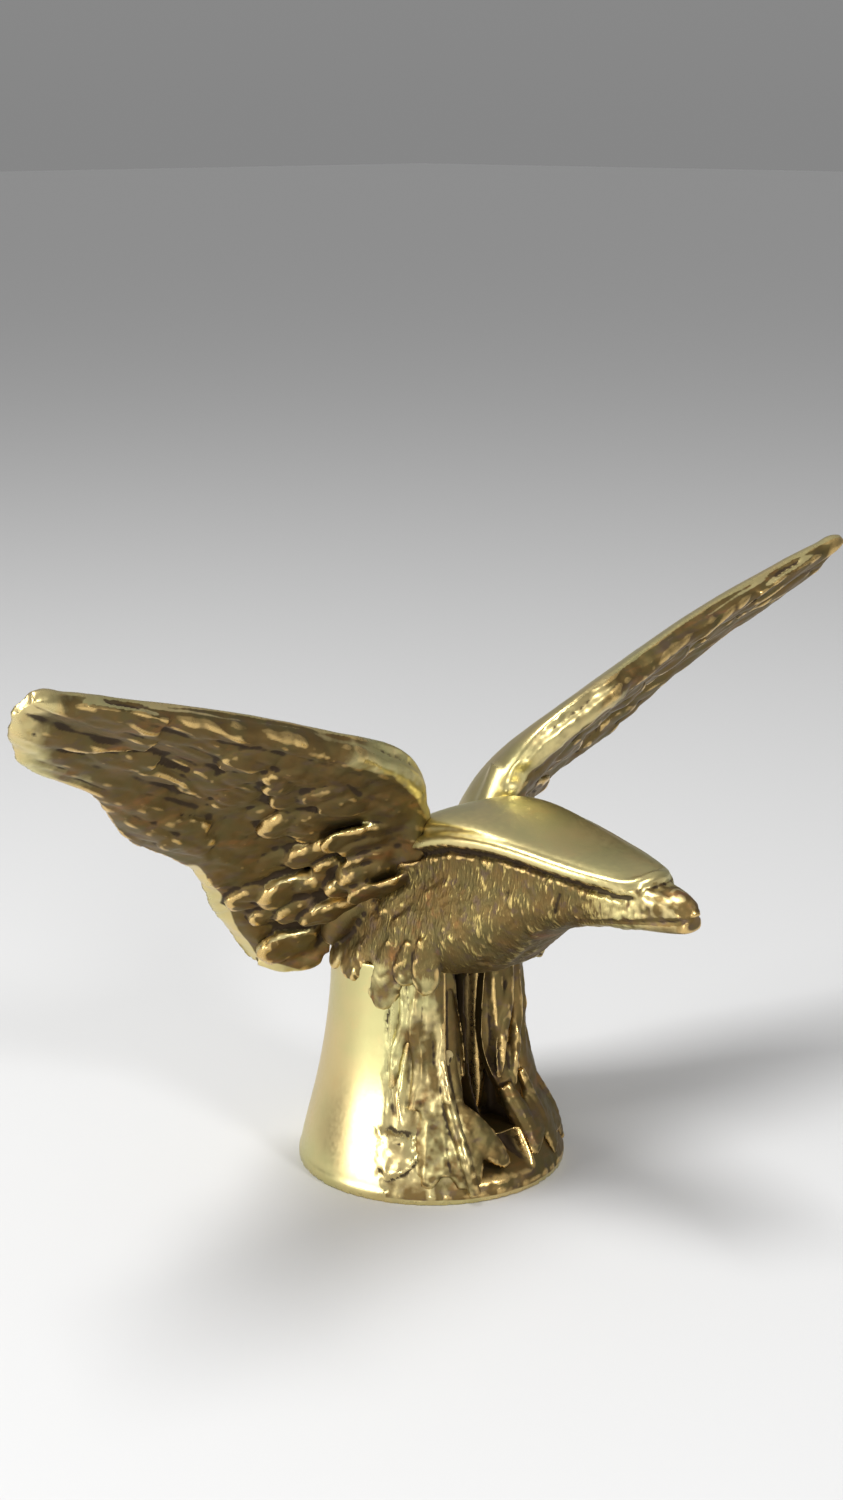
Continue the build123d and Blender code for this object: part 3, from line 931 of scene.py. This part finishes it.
# %% Flank feathers as a mesh
flank = [side_feather(*feather) for feather in FLANK_FEATHERS]
flank += [side_feather(*feather, sink=0.2, lift=0.5) for feather in HANGING_TIPS]
flank = landed(flank)
flank_mesh = feathers("flank_feathers", flank, "plain")
print("flank feathers a side:", len(flank))

# %% [markdown]
# In the CAD body there are sockets for the wing tenons and bores for their pins and for the screw. A voxel
# skin would follow them inwards, so short strands fill them first. The mantle's bead, the beak's ridge and
# cheeks, and a lobe of metal that closes the gap under each wing's root are strands too.

# %% Fuse the body
BODY_VOXEL = 0.3
SOCKET_MOUTH = (-9.0, -4.6, 56)
TENON_FOOT = (-6.0, -3.5, 49)
SOCKET_FILL = 3.9
# The other strands are lists of (x, y, z, radius), on the bird's right where they come in pairs
PIN_COVER = [(-8.3, -12, 53.0, 1.5), (-8.3, 14, 53.0, 1.5)]
SCREW_BORE = [(0, 0, 38.5, 3.4), (0, 0, 55, 3.4)]
# The lobe under the wing's root
ARMPIT = [(-10, 3, 48, 2.2), (-13.4, 7, 43, 2.8), (-13.2, 10.5, 38.5, 2.0)]
# The mantle's lower edge, from the tail to the point over the beak
MANTLE_EDGE = [
    (-8.8, 3.0, 53.0, 0.9),
    (-10.6, -6.0, 57.0, 1.1),
    (-10.6, -14.0, 59.6, 1.2),
    (-9.4, -23.7, 60.0, 1.2),
    (-7.3, -36.0, 58.5, 1.15),
    (-6.0, -41.0, 57.9, 1.1),
    (-4.4, -44.8, 57.5, 1.1),
    (-2.4, -46.6, 57.9, 1.1),
]
bead = MANTLE_EDGE + [(0, -47.0, 58.2, 1.2)] + [(-x, y, z, r) for x, y, z, r in MANTLE_EDGE[::-1]]
BEAK_RIDGE = [(0, -47.0, 55.2, 1.8), (0, -50.4, 55.3, 2.1), (0, -53.0, 54.8, 1.9), (0, -55.0, 53.3, 1.2)]
BEAK_CHEEK = [(-2.3, -45.6, 55.8, 1.8), (-1.7, -50.2, 54.9, 1.9), (-0.9, -53.4, 54.2, 1.6)]
fillings = []
for side in (1, -1):
    fillings.append([(side * x, y, z, SOCKET_FILL) for x, y, z in (SOCKET_MOUTH, TENON_FOOT)])
    for route in (PIN_COVER, ARMPIT, BEAK_CHEEK):
        fillings.append([(side * x, y, z, r) for x, y, z, r in route])
fillings.append(SCREW_BORE)
body_forms = [
    nodes["body"].data,
    flank_mesh,
    mirrored(flank_mesh, "left_flank_feathers"),
    tail_mesh,
    sweep("mantle_bead", [bead]),
    sweep("fillings", fillings + [BEAK_RIDGE], sides=16, spacing=1),
]
body_mesh = fuse("body_casting", body_forms, BODY_VOXEL * MM)
print("skin of the body, points:", len(body_mesh.vertices))

# %% [markdown]
# Two helpers measure the fused body. One gives the height above the mantle's edge, which tells the smooth
# plate from the hatched breast. The other draws the blocky back end in to a rounded tail.

# %% Mantle and tail
TAIL_START = 7.5
TAIL_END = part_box("body")[1][1] / MM + 1.0
TAIL_LEVEL = 44


def mantle_height(points):
    """Height above the mantle's lower edge, in millimetres."""
    edge_y = [-y for _, y, _, _ in MANTLE_EDGE]
    edge_z = [z for _, _, z, _ in MANTLE_EDGE]
    return points[:, 2] / MM - np.interp(-points[:, 1] / MM, edge_y, edge_z)


def rounded_tail(points):
    """The body's blocky back end, narrowed and brought down to a rounded tail."""
    share = np.clip((points[:, 1] / MM - TAIL_START) / (TAIL_END - TAIL_START), 0, 1)
    taper = np.sqrt(1 - 0.72 * share**2)
    level = TAIL_LEVEL * MM
    rounded = points.copy()
    rounded[:, 0] *= taper
    rounded[:, 2] = level + (points[:, 2] - level) * np.where(points[:, 2] > level, taper, 1)
    return rounded


# %% [markdown]
# Cheek and breast are hatched with a graver: short strokes that lean one way in one patch and another way
# in the next. A groove runs under the mantle's bead, the face is pitted, and a thin crease marks the mouth.
# As on the wings, smooth noise drawn out along each stroke's direction pushes the points.

# %% Strokes, groove and beak
# Directions of the strokes, as angles in radians from the level towards the tail
STROKE_TURNS = [2.0, 1.45, 2.5, 0.95]


def soften_body(mesh):
    """Relaxes the back end and the beak, and rounds the tail."""
    points = relaxed(mesh, read_points(mesh), 2)
    back = step_up(1, 6, points[:, 1] / MM) * step_up(39, 42, points[:, 2] / MM)
    front = step_up(-46.6, -48.0, points[:, 1] / MM)
    points += (relaxed(mesh, points, 7) - points) * np.maximum(back, front)[:, None]
    points = rounded_tail(points)
    write_points(mesh, points)
    return points


def graver_strokes(x, y, z):
    """Short strokes, from about -1 to 1, at points given in millimetres."""
    strokes = np.zeros(len(x))
    for k, turn in enumerate(STROKE_TURNS):
        along = y * math.cos(turn) + z * math.sin(turn)
        across = z * math.cos(turn) - y * math.sin(turn)
        patch = step_up(-0.1, 0.5, cloud(np.c_[x, y, z], 4, 40 + k))
        strokes += patch * cloud(np.c_[along, across, x], (2.6, 0.6, 2.2), 12 + k)
        strokes += 0.6 * patch * cloud(np.c_[along, across, x], (1.4, 0.55, 1.4), 17 + k)
    return strokes


def carve_body(mesh):
    """Pushes the marks into the body. Gives what the polish follows, one value for each point."""
    points = soften_body(mesh)
    normals = read_normals(mesh)
    x, y, z = (points / MM).T
    above = mantle_height(points)
    plate = step_up(-0.9, -0.1, above) * step_up(-48.6, -47.9, y)
    strokes = graver_strokes(x, y, z)
    lumps = cloud(points / MM, 2.2, 14)
    beak = step_up(-46, -50, y)
    hatched = (1 - plate) * (1 - beak)
    rise = hatched * (0.13 * strokes + 0.12 * lumps)
    rise -= 0.75 * np.exp(-(((above + 2.0) / 0.55) ** 2)) * step_up(4, -4, y) * step_up(-47.6, -45.5, y)
    # The face is pitted down to a smooth facet under the beak, which widens towards the tail.
    over_mouth = z - (53.4 - 0.19 * (y + 52.3))
    face = step_up(-34, -38, y) * (1 - plate) * step_up(0.0, 0.5, over_mouth)
    pits = cloud(points / MM, 0.75, 15)
    rise += face * (0.13 - 0.06 * beak) * np.minimum(pits, 0.4)
    rise -= 0.25 * np.exp(-(((over_mouth + 0.2) / 0.35) ** 2)) * step_up(-35, -40, y)
    rise -= 0.5 * np.exp(-(((y + 33.5 + 0.3 * (z - 53)) / 0.45) ** 2)) * step_up(2.6, 1.2, np.abs(z - 52.5))
    write_points(mesh, points + normals * rise[:, None] * MM)
    marks = {"y": y, "z": z, "plate": plate, "hatched": hatched, "strokes": strokes, "lumps": lumps}
    return {**marks, "over_mouth": over_mouth, "face": face, "pits": pits}


# %% [markdown]
# The mantle is bright, the breast half worn, the gaps between the flank feathers dark. The beak's facet and
# its ridge are rubbed, its blunt end isn't.

# %% Polish and painted shade of the body
def body_finish(y, z, plate, hatched, strokes, lumps, over_mouth, face, pits):
    """The polish, with a painted shade behind the wing's root, and the share of hatching, 0 to 1."""
    low_beak = step_up(-0.4, -0.9, over_mouth) * step_up(-34, -38, y)
    leaves = step_up(39, 36, z)
    # Behind the wing's root, under the wing, the breast is painted darker and left without hatching: painted
    # shade.
    behind = step_up(1, 6, y + 0.3 * (z - 45))
    breast = (0.24 + 0.12 * lumps + 0.14 * strokes) * (1 - 0.75 * behind * (1 - leaves)) + 0.2 * leaves
    blunt = step_up(-53.2, -54.6, y)
    worn = face * step_up(-35, -43, y) * (0.42 + 0.25 * pits)
    polish_and_painted_light = np.maximum(plate, hatched * breast + 0.5 * low_beak + worn - 0.7 * blunt)
    polish_and_painted_light = np.maximum(polish_and_painted_light, 0.6 * step_up(6, 12, y) * step_up(41, 46, z))
    jaw = step_up(-38, -44, y)
    return np.clip(polish_and_painted_light, 0, 1), hatched * (1 - leaves) * (1 - behind) * (1 - 0.8 * jaw)


body_polish_and_shade, body_hatch = body_finish(**carve_body(body_mesh))
finish_casting("body_casting", body_mesh, body_polish_and_shade, "body", body_hatch, 0.2)

# %% [markdown]
# The pedestal is smooth and buffed behind and at the sides. In front it is draped: from the smooth skin's
# ragged edge the leg feathers hang in folds, and between the legs the wall falls back into a dark recess.
# One function of the angle round the bell and of the height says how far the surface stands out or falls
# back, and both the pedestal and the legs are pushed by it, so that their folds run on from one to the
# other.

# %% Angles and distances round the bell
# The bell's outline, the same as the CAD pedestal's
BELL_HEIGHTS = [0, 1.6, 7, 13, 22, 30, 37]
BELL_RADII = [22.2, 22.0, 20.2, 17.9, 15.9, 15.2, 15.2]
BELL_SET_BACKS = [0, 0, 0.8, 1.9, 2.4, 2.2, 2.0]
# Angles of the hanging folds, those between which the smooth skin is missing, and those of the recess
FOLDS = [209, 216, 223, 230, 236, 281, 289, 297, 305, 314, 322]
SKIN_EDGES = (204, 332)
RECESS = (237.5, 273)


def bell_radius(height):
    return np.interp(height, BELL_HEIGHTS, BELL_RADII)


def set_back(height):
    """How far the bell's axis lies behind the origin at this height."""
    return np.interp(height, BELL_HEIGHTS, BELL_SET_BACKS)


def round_bell(points):
    """Angle in degrees (270 in front, 180 at the bird's right), height, reach, outward direction."""
    x, y, z = (points / MM).T
    y = y - set_back(z)
    reach = np.hypot(x, y)
    return np.degrees(np.arctan2(y, x)) % 360, z, reach, np.c_[x / reach, y / reach, 0 * z]


def on_bell(angle, height, out):
    """A point out millimetres from the bell's skin, in millimetres."""
    reach = bell_radius(height) + out
    turn = math.radians(angle)
    return (reach * math.cos(turn), set_back(height) + reach * math.sin(turn), height)


# %% [markdown]
# The front relief has five parts: the ragged edge of the smooth skin, a flake of it that hangs on at the
# foot, the folds, the recess between the legs, and a rough skin on whatever is bare.

# %% Front relief
def front_relief(points, folds):
    """How far the front stands out, in millimetres, its polish with a painted light on the near side, and the
    outward directions.
    """
    angle, height, _, outward = round_bell(points)
    place = np.c_[0.3 * angle, height, 0 * height]
    ragged = 2.6 * cloud(place, (2.4, 3.0, 1), 21) + 2.2 * cloud(place, (0.9, 1.0, 1), 22)
    lifted = height + 0.5 * ragged
    flake = step_up(1.4, 0.7, ((angle - 208) / 12) ** 2 + ((lifted - 7.6) / 2.9) ** 2 + 0.25 * ragged)
    right_edge = SKIN_EDGES[0] + ragged + 18 * flake
    bare = step_up(-0.5, 0.5, angle - right_edge) * step_up(0.5, -0.5, angle - SKIN_EDGES[1] - ragged)
    recess = step_up(RECESS[0], RECESS[0] + 5, angle) * step_up(RECESS[1] + 3, RECESS[1], angle)
    rise = (0.25 + 0.42 * flake) * (1 - bare) * step_up(195, 206, angle) * step_up(230, 226, angle)
    high = step_up(10, 16, height)
    for k, centre in enumerate(FOLDS):
        drift = centre + 2.6 * np.sin(height / 5.0 + 1.9 * k) + 0.2 * (26 - height) * math.cos(2.3 * k)
        width = 2.1 + 0.9 * math.sin(3.1 * k)
        rise += folds * 0.55 * high * np.exp(-(((angle - drift) / width) ** 2))
    rise -= recess * (3.0 * high + 4.0 * step_up(2.6, 6.5, height) * step_up(17, 12, height))
    rough = cloud(points / MM, 1.5, 23) + 0.6 * cloud(points / MM, 0.7, 24)
    streak = cloud(np.c_[angle, height, 0 * angle], (3.4, 8, 1), 25)
    rise += 0.2 * flake * rough
    rise += bare * (0.07 * rough + 0.16 * streak)
    # The bird's right, the side towards the camera and the window panel, is painted lighter: painted light.
    painted_near_light = step_up(250, 235, angle)
    handled = step_up(234, 212, angle + 2 * ragged)
    wear_and_light = 0.18 + 0.2 * painted_near_light + 0.16 * handled + 0.2 * streak + 0.08 * rough
    polish_and_painted_light = (1 - bare) + bare * wear_and_light - 0.4 * recess
    return rise, np.clip(polish_and_painted_light, 0, 1), outward


# %% [markdown]
# The pedestal is pushed outwards from its axis, not along its normals, so that the folds stay upright and
# the round foot keeps its place on the floor. Its inner wall stays as it is.

# %% The pedestal
PEDESTAL_VOXEL = 0.4


def carve_pedestal(mesh):
    """Pushes the front relief into the bell's outer skin. Gives the polish, with its painted light."""
    points = relaxed(mesh, read_points(mesh), 2)
    write_points(mesh, points)
    normals = read_normals(mesh)
    rise, polish_and_painted_light, outward = front_relief(points, 0.8)
    z = points[:, 2] / MM
    facing = step_up(0.2, 0.5, (normals * outward).sum(axis=1))
    between_rims = step_up(0.6, 1.4, z) * step_up(36.8, 35, z)
    points = points + outward * (rise * facing * between_rims)[:, None] * MM
    points[:, 2] = np.maximum(points[:, 2], 0)
    write_points(mesh, points)
    rim = step_up(1.1, 0.7, z)
    return np.where(facing > 0.3, np.maximum(polish_and_painted_light, 0.9 * rim), 0.3)


pedestal_mesh = fuse("pedestal_casting", [nodes["pedestal"].data], PEDESTAL_VOXEL * MM)
pedestal_polish_and_light = carve_pedestal(pedestal_mesh)
finish_casting("pedestal_casting", pedestal_mesh, pedestal_polish_and_light, "pedestal")

# %% [markdown]
# Each leg is a shin in low relief that spreads into three toes. The founder made no two alike, so each leg
# has its own list of strands: the toes' ridges and the thin folds that frame the dark recess.

# %% Strands of the two legs
# Strands as (angle round the bell, height, distance out of its skin, radius)
RIGHT_STRANDS = {
    "foot": [(233, 21, -1.0, 1.0), (231.5, 14, -1.7, 2.8), (229.5, 8, -3.2, 4.7), (228, 3.7, -4.3, 5.4)],
    "main_ridge": [(236, 23, 0.5, 0.7), (238, 15, 2.0, 1.0), (240.5, 7, 2.8, 1.0), (243, 1.6, 0.6, 1.0)],
    "main_flank": [(237, 20, 0.0, 1.0), (238, 13, 0.2, 1.6), (238.5, 7, 0.2, 2.2), (240, 2.6, -1.0, 2.0)],
    "inner_toe": [(243, 16, 0.0, 0.5), (248, 12, 0.4, 0.7), (256, 8, -0.2, 0.8), (264, 4.5, -1.2, 0.7)],
    "recess_fold": [(242, 33, -0.5, 0.4), (246, 28, -0.7, 0.9), (249, 23, -1.0, 0.9), (251, 18, -1.6, 0.4)],
    "inner_edge": [(233, 36, 0.6, 0.5), (235, 29, 0.8, 0.7), (237, 22, 0.8, 0.8), (236, 16, 0.9, 0.6)],
    "front_fold": [(224, 35, 0.4, 0.8), (221, 28, 0.3, 1.3), (224, 21, 0.4, 1.3), (220, 14, 0.2, 1.0)],
    "outer_fold": [(212, 35, -0.3, 0.6), (215, 29, -0.1, 1.1), (211, 23, -0.1, 1.1), (208, 17, -0.4, 0.6)],
}
LEFT_STRANDS = {
    "foot": [(302, 21, -1.0, 1.2), (305, 14, -2.0, 2.8), (308, 8, -3.4, 4.4), (309, 3.7, -4.4, 5.2)],
    "outer_ridge": [(300, 19, 0.4, 0.7), (306, 14, 1.0, 0.9), (312, 8, 1.0, 1.0), (317, 2.0, -0.2, 0.9)],
    "inner_block": [(276, 15.5, -0.4, 1.2), (280, 11, -0.2, 1.9), (284, 6, -0.6, 1.6)],
    "inner_ridge": [(290, 17, 0.6, 0.7), (293, 11, 0.9, 1.0), (296, 4, 0.3, 0.9)],
    "shin": [(285, 36, -1.9, 2.4), (282, 28, -2.0, 2.6), (280, 21, -2.0, 2.4), (283, 13, -1.6, 1.6)],
    "upper_fold": [(292, 35, 0.4, 0.6), (286, 30, 0.5, 1.0), (278, 23, 0.4, 1.0), (273, 17, 0.0, 0.6)],
    "middle_fold": [(302, 33, 0.6, 0.6), (296, 27, 0.8, 1.0), (287, 20, 0.7, 1.0), (282, 15, 0.2, 0.6)],
    "outer_fold": [(312, 34, 0.4, 0.6), (309, 28, 0.7, 1.0), (301, 21, 0.7, 1.0), (296, 16, 0.5, 0.7)],
}

# %% [markdown]
# The CAD legs stand out further than the castings' relief does, so a copy of each is pressed back towards
# the bell before its strands are laid on it and the whole is fused.

# %% Press, fuse and carve the legs
LEG_VOXEL = 0.26
LOW_RELIEF = 1.1


def low_relief(mesh):
    """A copy of a leg whose toes are pressed back towards the bell."""
    flat = mesh.copy()
    points = read_points(flat)
    _, height, reach, outward = round_bell(points)
    out = reach - bell_radius(height)
    pressed = np.where(out > LOW_RELIEF, LOW_RELIEF + 0.25 * (out - LOW_RELIEF), out)
    write_points(flat, points + outward * (pressed - out)[:, None] * MM)
    return flat


def carve_leg(mesh):
    """Runs the folds over the shin and roughens the toes. Gives the polish, with a painted light on the near
    toes.
    """
    points = relaxed(mesh, read_points(mesh), 2)
    write_points(mesh, points)
    normals = read_normals(mesh)
    rise, polish_and_painted_light, outward = front_relief(points, 0.5)
    facing = step_up(0.1, 0.5, (normals * outward).sum(axis=1))
    shin = step_up(15, 20, points[:, 2] / MM)
    rough = cloud(points / MM, 1.1, 31) + 0.5 * cloud(points / MM, 0.6, 32)
    points = points + outward * (facing * np.clip(rise, -1.0, 1) * shin)[:, None] * MM
    points = points + normals * ((0.6 + 0.4 * (1 - shin)) * 0.09 * rough)[:, None] * MM
    points[:, 2] = np.maximum(points[:, 2], 0.2 * MM)
    write_points(mesh, points)
    angle = round_bell(points)[0]
    # The toes on the bird's right are painted lighter, as on the bell: painted light.
    painted_near_light = step_up(250, 240, angle)
    return np.clip(polish_and_painted_light * shin + (1 - shin) * (0.16 + 0.3 * painted_near_light + 0.14 * rough), 0, 1)


for leg, strands in (("right_leg", RIGHT_STRANDS), ("left_leg", LEFT_STRANDS)):
    routes = []
    for route in strands.values():
        routes.append([(*on_bell(angle, height, out), r) for angle, height, out, r in route])
    forms = [low_relief(nodes[leg].data), sweep(leg + "_strands", routes, spacing=0.5)]
    leg_mesh = fuse(leg + "_casting", forms, LEG_VOXEL * MM)
    leg_polish_and_light = carve_leg(leg_mesh)
    finish_casting(leg + "_casting", leg_mesh, leg_polish_and_light, leg)

# %% [markdown]
# The hardware inside stays as the CAD model has it: turned brass pins and bush, a steel screw and its
# washer.

# %% Hardware
def turned_material(name, colour, shade, rough):
    """Machined metal: faint turning marks, a little grime."""
    material = bpy.data.materials.new(name)
    material.use_nodes = True
    tree = material.node_tree
    shader = tree.nodes["Principled BSDF"]
    place = tree.nodes.new("ShaderNodeTexCoord").outputs["Object"]
    grime = fade_node(tree, noise_node(tree, place, 420.0), 0.42, 0.68, 0.8)
    tree.links.new(mixed(tree, grime, colour, shade), shader.inputs["Base Color"])
    tree.links.new(mixed(tree, grime, grey(rough), grey(rough + 0.2)), shader.inputs["Roughness"])
    shader.inputs["Metallic"].default_value = 1.0
    rings = node(tree, "ShaderNodeTexWave", Scale=900.0, Distortion=1.5)
    rings.bands_direction = "Z"
    tree.links.new(place, rings.inputs["Vector"])
    bump = node(tree, "ShaderNodeBump", Strength=0.25, Distance=0.05 * MM)
    tree.links.new(rings.outputs["Fac"], bump.inputs["Height"])
    tree.links.new(bump.outputs["Normal"], shader.inputs["Normal"])
    return material


turned_brass = turned_material("turned_brass", (0.60, 0.47, 0.22), (0.20, 0.13, 0.05), 0.3)
steel = turned_material("zinc_plated_steel", (0.56, 0.56, 0.55), (0.25, 0.22, 0.18), 0.34)
HARDWARE = {
    "leg_pins": turned_brass,
    "right_wing_pin": turned_brass,
    "left_wing_pin": turned_brass,
    "mounting_bush": turned_brass,
    "tie_screw": steel,
    "tie_washer": steel,
}
for name, metal in HARDWARE.items():
    nodes[name].data.materials.clear()
    nodes[name].data.materials.append(metal)
print("hardware nodes:", len(HARDWARE))

# %% [markdown]
# The ornament stands on a pale floor in a plain soft studio. A large panel like a window stands on the
# bird's right, so that the buffed pedestal and mantle catch long bright streaks, and three smaller panels
# give the carving its glints. The sky is grey and a little lighter overhead.

# %% Floor
FLOOR_HALF = 6.0
corners = [(-FLOOR_HALF, -FLOOR_HALF, 0), (FLOOR_HALF, -FLOOR_HALF, 0)]
corners += [(FLOOR_HALF, FLOOR_HALF, 0), (-FLOOR_HALF, FLOOR_HALF, 0)]
floor_mesh = bpy.data.meshes.new("floor")
floor_mesh.from_pydata(corners, [], [(0, 1, 2, 3)])
floor = new_object("floor", floor_mesh)
floor_material = bpy.data.materials.new("pale_floor")
floor_material.use_nodes = True
floor_shader = floor_material.node_tree.nodes["Principled BSDF"]
floor_shader.inputs["Base Color"].default_value = (0.62, 0.62, 0.62, 1)
floor_shader.inputs["Roughness"].default_value = 0.6
floor_mesh.materials.append(floor_material)
print("floor side in metres:", 2 * FLOOR_HALF)


# %% Lights and sky
def area_light(name, place, target, size, power):
    data = bpy.data.lights.new(name, "AREA")
    data.shape = "RECTANGLE"
    data.size, data.size_y = size
    data.energy = power
    lamp = bpy.data.objects.new(name, data)
    lamp.location = place
    lamp.rotation_euler = (Vector(target) - Vector(place)).to_track_quat("-Z", "Y").to_euler()
    bpy.context.scene.collection.objects.link(lamp)


# Each panel: its place, the point it faces, its width and height, all in metres, and its power in watts
PANELS = {
    "window": ((-0.75, 0.22, 0.26), (0, 0, 0.04), (0.42, 0.40), 4),
    "ceiling": ((-0.20, 0.10, 0.80), (0, 0, 0.05), (0.30, 0.30), 5),
    "front": ((-0.05, -0.80, 0.50), (0, 0, 0.05), (0.16, 0.16), 3),
    "low": ((-0.60, -0.55, 0.10), (0, 0, 0.07), (0.12, 0.10), 1.2),
}
for name, panel in PANELS.items():
    area_light(name, *panel)

world = bpy.data.worlds.new("studio")
bpy.context.scene.world = world
world.use_nodes = True
sky = world.node_tree
split = sky.nodes.new("ShaderNodeSeparateXYZ")
sky.links.new(sky.nodes.new("ShaderNodeTexCoord").outputs["Generated"], split.inputs["Vector"])
gradient = ramp_node(sky, split.outputs["Z"], [(0.0, grey(0.30)), (0.25, grey(0.34)), (0.9, grey(0.62))])
sky.links.new(gradient, sky.nodes["Background"].inputs["Color"])
sky.nodes["Background"].inputs["Strength"].default_value = 0.8
print("lights:", len(bpy.data.lights))

# %% [markdown]
# The camera stands to the front and right of the bird, a little above it, and looks down at a shallow
# angle, so that the near wing shows its underside. The standard view transform keeps the brass as yellow as
# it is.

# %% Camera
CAMERA_PLACE = (-0.27760, -0.27526, 0.16915)
CAMERA_DIRECTION = Vector((0.68520, 0.68520, -0.24700))
LENS = 60
SENSOR = 36
camera_data = bpy.data.cameras.new("camera")
camera_data.lens = LENS
camera_data.sensor_width = SENSOR
camera_data.clip_start = 0.01
camera = bpy.data.objects.new("camera", camera_data)
camera.location = CAMERA_PLACE
camera.rotation_euler = CAMERA_DIRECTION.to_track_quat("-Z", "Y").to_euler()
bpy.context.scene.collection.objects.link(camera)
bpy.context.scene.camera = camera
bpy.context.scene.view_settings.view_transform = "Standard"
print("camera at", CAMERA_PLACE)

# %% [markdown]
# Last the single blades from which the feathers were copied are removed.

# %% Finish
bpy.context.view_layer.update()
for blade in blades.values():
    bpy.data.objects.remove(blade)
